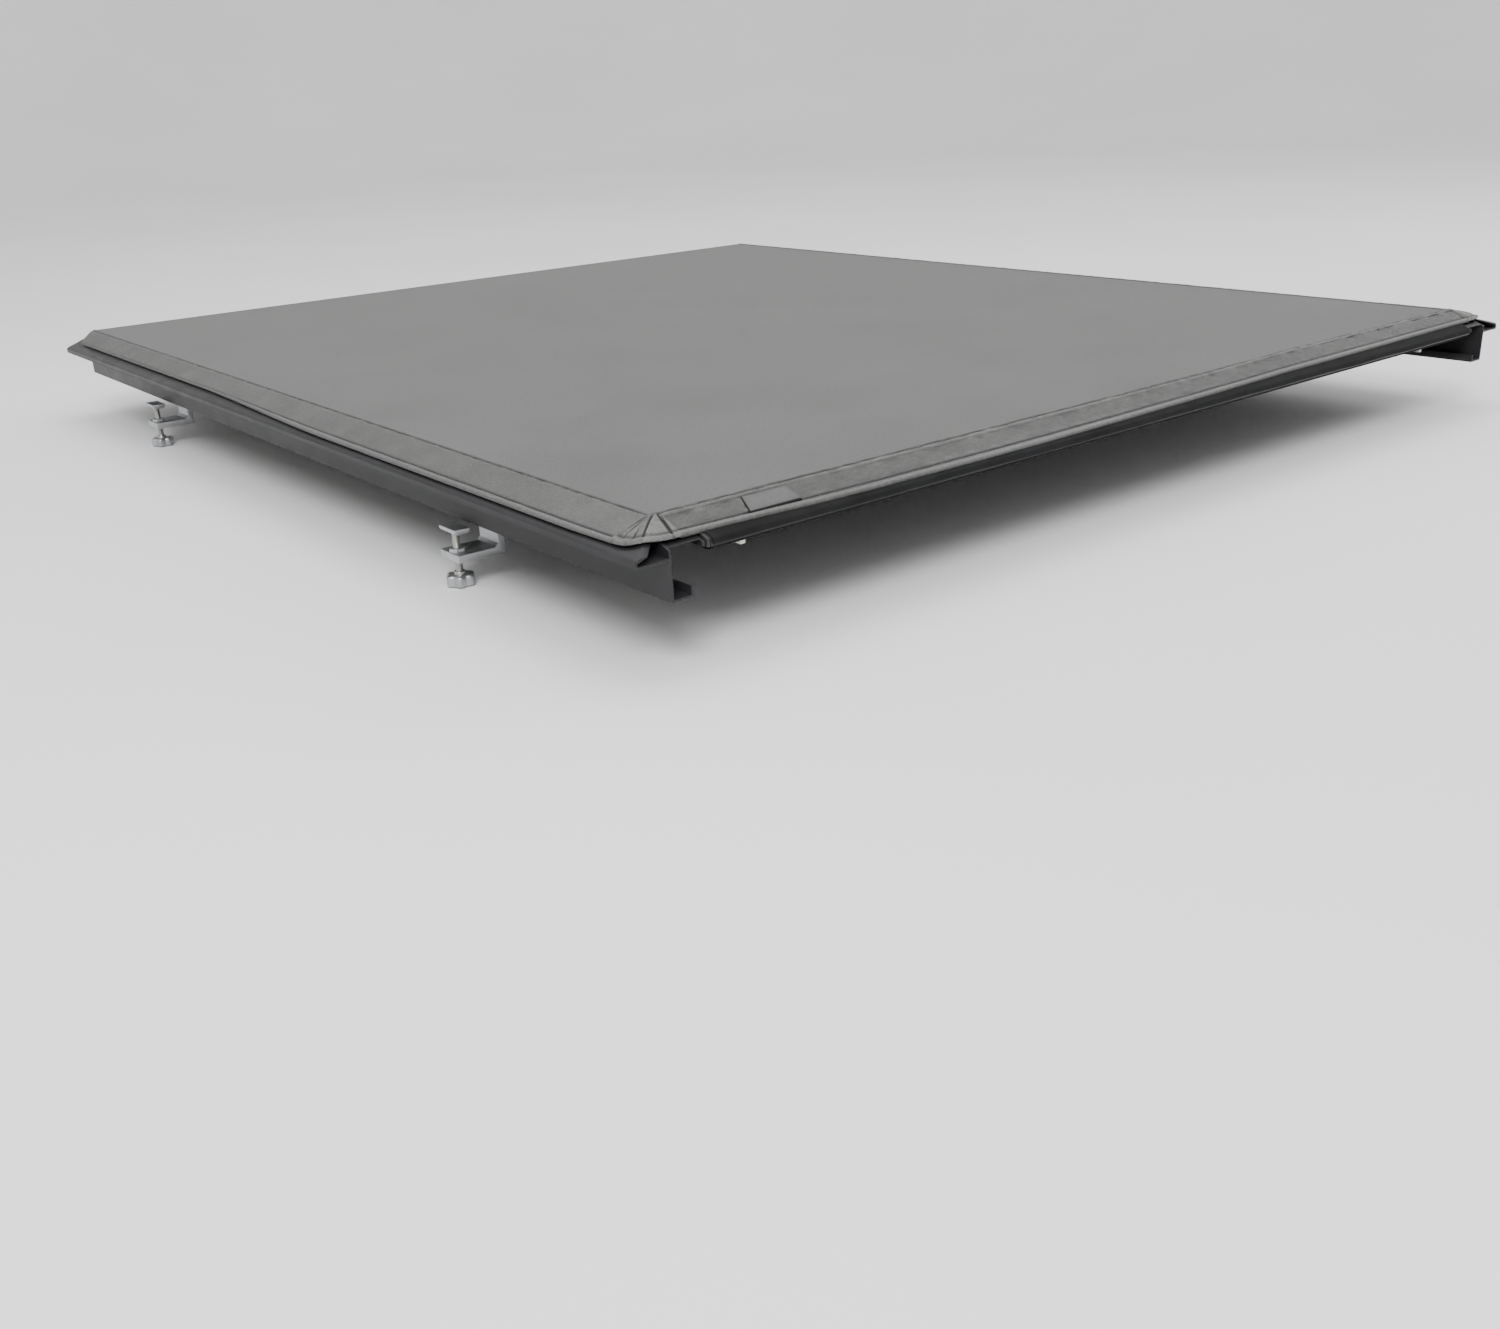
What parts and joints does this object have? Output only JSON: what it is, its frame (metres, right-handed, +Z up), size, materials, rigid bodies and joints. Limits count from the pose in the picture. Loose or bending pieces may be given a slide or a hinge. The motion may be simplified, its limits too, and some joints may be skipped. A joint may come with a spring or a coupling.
{
  "type": "tonneau cover",
  "caption": "Soft roll-up pickup bed cover: vinyl sheet on bows between clamp-on side rails, with a front header and a latched rear bar",
  "frame": {"origin": "centre of the bulkhead seal's flat underside, on the plane of the bed caps that the whole cover rests on", "axes": "+Z up, +Y forward to the cab along the cover's length, +X to the passenger side"},
  "size_m": [1.422, 1.59, 0.13],
  "materials": {
    "vinyl": "matte grained reinforced vinyl sheet",
    "rail": "black powder-coated aluminium extrusion",
    "alloy": "mill-finish aluminium",
    "plastic": "moulded black plastic",
    "rubber": "soft black bulb seal",
    "foam": "closed-cell foam strip",
    "hook": "woven hook tape",
    "steel": "zinc-plated steel",
    "webbing": "black polyester webbing"
  },
  "bodies": {
    "frame": {"front_header": "rail", "bulkhead_seal": "rubber", "tarp_front_section": "vinyl", "header_corner_left": "plastic", "side_rail_left": "rail", "hook_tape_left": "hook", "rail_seal_left": "foam", "header_corner_right": "plastic", "side_rail_right": "rail", "hook_tape_right": "hook", "rail_seal_right": "foam", "clamp_1_body": "alloy", "clamp_2_body": "alloy", "clamp_3_body": "alloy", "clamp_4_body": "alloy"},
    "section_01": {"tarp_section_01": "vinyl"},
    "section_02": {"tarp_section_02": "vinyl", "bow_1": "alloy", "bow_1_plug_left": "plastic", "bow_1_plug_right": "plastic"},
    "section_03": {"tarp_section_03": "vinyl"},
    "section_04": {"tarp_section_04": "vinyl"},
    "section_05": {"tarp_section_05": "vinyl", "bow_2": "alloy", "bow_2_plug_left": "plastic", "bow_2_plug_right": "plastic"},
    "section_06": {"tarp_section_06": "vinyl"},
    "section_07": {"tarp_section_07": "vinyl"},
    "section_08": {"tarp_section_08": "vinyl", "bow_3": "alloy", "bow_3_plug_left": "plastic", "bow_3_plug_right": "plastic"},
    "section_09": {"tarp_section_09": "vinyl"},
    "section_10": {"tarp_section_10": "vinyl"},
    "section_11": {"tarp_section_11": "vinyl"},
    "rear_rail": {"tarp_rear_wrap": "vinyl", "rear_bar": "rail", "tailgate_seal": "rubber", "rear_bar_cap_left": "plastic", "rear_bar_cap_right": "plastic", "latch_guide_left": "plastic", "latch_guide_right": "plastic", "latch_spring_left": "steel", "latch_spring_right": "steel"},
    "latch_left": {"latch_bolt_left": "steel"},
    "latch_right": {"latch_bolt_right": "steel"},
    "clamp_1_jaw": {"clamp_1_pad": "alloy"},
    "clamp_1_screw": {"clamp_1_bolt": "steel"},
    "clamp_2_jaw": {"clamp_2_pad": "alloy"},
    "clamp_2_screw": {"clamp_2_bolt": "steel"},
    "clamp_3_jaw": {"clamp_3_pad": "alloy"},
    "clamp_3_screw": {"clamp_3_bolt": "steel"},
    "clamp_4_jaw": {"clamp_4_pad": "alloy"},
    "clamp_4_screw": {"clamp_4_bolt": "steel"},
    "tension_left": {"tension_screw_left": "steel"},
    "strap_left": {"storage_strap_left": "webbing", "strap_buckle_left": "plastic"},
    "tension_right": {"tension_screw_right": "steel"},
    "strap_right": {"storage_strap_right": "webbing", "strap_buckle_right": "plastic"}
  },
  "joints": [
    {"name": "seam_01", "type": "hinge", "parent": "frame", "child": "section_01", "pos_m": [0, -0.15002, 0.03], "axis": [-1, 0, 0], "range_deg": [0, 90]},
    {"name": "seam_02", "type": "hinge", "parent": "section_01", "child": "section_02", "pos_m": [0, -0.29405, 0.03], "axis": [-1, 0, 0], "range_deg": [0, 90]},
    {"name": "seam_03", "type": "hinge", "parent": "section_02", "child": "section_03", "pos_m": [0, -0.43807, 0.03], "axis": [-1, 0, 0], "range_deg": [0, 90]},
    {"name": "seam_04", "type": "hinge", "parent": "section_03", "child": "section_04", "pos_m": [0, -0.5781, 0.03], "axis": [-1, 0, 0], "range_deg": [0, 90]},
    {"name": "seam_05", "type": "hinge", "parent": "section_04", "child": "section_05", "pos_m": [0, -0.70613, 0.03], "axis": [-1, 0, 0], "range_deg": [0, 90]},
    {"name": "seam_06", "type": "hinge", "parent": "section_05", "child": "section_06", "pos_m": [0, -0.84215, 0.03], "axis": [-1, 0, 0], "range_deg": [0, 90]},
    {"name": "seam_07", "type": "hinge", "parent": "section_06", "child": "section_07", "pos_m": [0, -0.96618, 0.03], "axis": [-1, 0, 0], "range_deg": [0, 90]},
    {"name": "seam_08", "type": "hinge", "parent": "section_07", "child": "section_08", "pos_m": [0, -1.0862, 0.03], "axis": [-1, 0, 0], "range_deg": [0, 90]},
    {"name": "seam_09", "type": "hinge", "parent": "section_08", "child": "section_09", "pos_m": [0, -1.20623, 0.03], "axis": [-1, 0, 0], "range_deg": [0, 90]},
    {"name": "seam_10", "type": "hinge", "parent": "section_09", "child": "section_10", "pos_m": [0, -1.32225, 0.03], "axis": [-1, 0, 0], "range_deg": [0, 90]},
    {"name": "seam_11", "type": "hinge", "parent": "section_10", "child": "section_11", "pos_m": [0, -1.43827, 0.03], "axis": [-1, 0, 0], "range_deg": [0, 90]},
    {"name": "seam_12", "type": "hinge", "parent": "section_11", "child": "rear_rail", "pos_m": [0, -1.5083, 0.03], "axis": [-1, 0, 0], "range_deg": [0, 90]},
    {"name": "latch_left_pull", "type": "slide", "parent": "rear_rail", "child": "latch_left", "axis": [1, 0, 0], "range_m": [0, 0.02], "stiffness_N_per_m": 350, "springref_m": -0.012, "deforming": ["latch_spring_left"]},
    {"name": "latch_right_pull", "type": "slide", "parent": "rear_rail", "child": "latch_right", "axis": [-1, 0, 0], "range_m": [0, 0.02], "stiffness_N_per_m": 350, "springref_m": -0.012, "deforming": ["latch_spring_right"]},
    {"name": "clamp_1_travel", "type": "slide", "parent": "frame", "child": "clamp_1_jaw", "axis": [0, 0, -1], "range_m": [0, 0.015]},
    {"name": "clamp_1_turn", "type": "hinge", "parent": "clamp_1_jaw", "child": "clamp_1_screw", "pos_m": [-0.688, -0.308, -0.07], "axis": [0, 0, 1], "range_deg": [0, 4320]},
    {"name": "clamp_2_travel", "type": "slide", "parent": "frame", "child": "clamp_2_jaw", "axis": [0, 0, -1], "range_m": [0, 0.015]},
    {"name": "clamp_2_turn", "type": "hinge", "parent": "clamp_2_jaw", "child": "clamp_2_screw", "pos_m": [-0.688, -1.208, -0.07], "axis": [0, 0, 1], "range_deg": [0, 4320]},
    {"name": "clamp_3_travel", "type": "slide", "parent": "frame", "child": "clamp_3_jaw", "axis": [0, 0, -1], "range_m": [0, 0.015]},
    {"name": "clamp_3_turn", "type": "hinge", "parent": "clamp_3_jaw", "child": "clamp_3_screw", "pos_m": [0.688, -0.308, -0.07], "axis": [0, 0, 1], "range_deg": [0, 4320]},
    {"name": "clamp_4_travel", "type": "slide", "parent": "frame", "child": "clamp_4_jaw", "axis": [0, 0, -1], "range_m": [0, 0.015]},
    {"name": "clamp_4_turn", "type": "hinge", "parent": "clamp_4_jaw", "child": "clamp_4_screw", "pos_m": [0.688, -1.208, -0.07], "axis": [0, 0, 1], "range_deg": [0, 4320]},
    {"name": "tension_left_turn", "type": "hinge", "parent": "frame", "child": "tension_left", "pos_m": [-0.647, -0.022, 0.0213], "axis": [0, 1, 0], "range_deg": [0, 1440]},
    {"name": "tension_right_turn", "type": "hinge", "parent": "frame", "child": "tension_right", "pos_m": [0.647, -0.022, 0.0213], "axis": [0, 1, 0], "range_deg": [0, 1440]},
    {"name": "strap_left_drop", "type": "hinge", "parent": "frame", "child": "strap_left", "pos_m": [-0.35, -0.024, 0.0238], "axis": [1, 0, 0], "range_deg": [0, 90]},
    {"name": "strap_right_drop", "type": "hinge", "parent": "frame", "child": "strap_right", "pos_m": [0.35, -0.024, 0.0238], "axis": [1, 0, 0], "range_deg": [0, 90]}
  ],
  "couplings": [
    {"joint": "clamp_1_turn", "follows": "clamp_1_travel", "rad_per_m": 5026.5},
    {"joint": "clamp_2_turn", "follows": "clamp_2_travel", "rad_per_m": 5026.5},
    {"joint": "clamp_3_turn", "follows": "clamp_3_travel", "rad_per_m": 5026.5},
    {"joint": "clamp_4_turn", "follows": "clamp_4_travel", "rad_per_m": 5026.5}
  ]
}
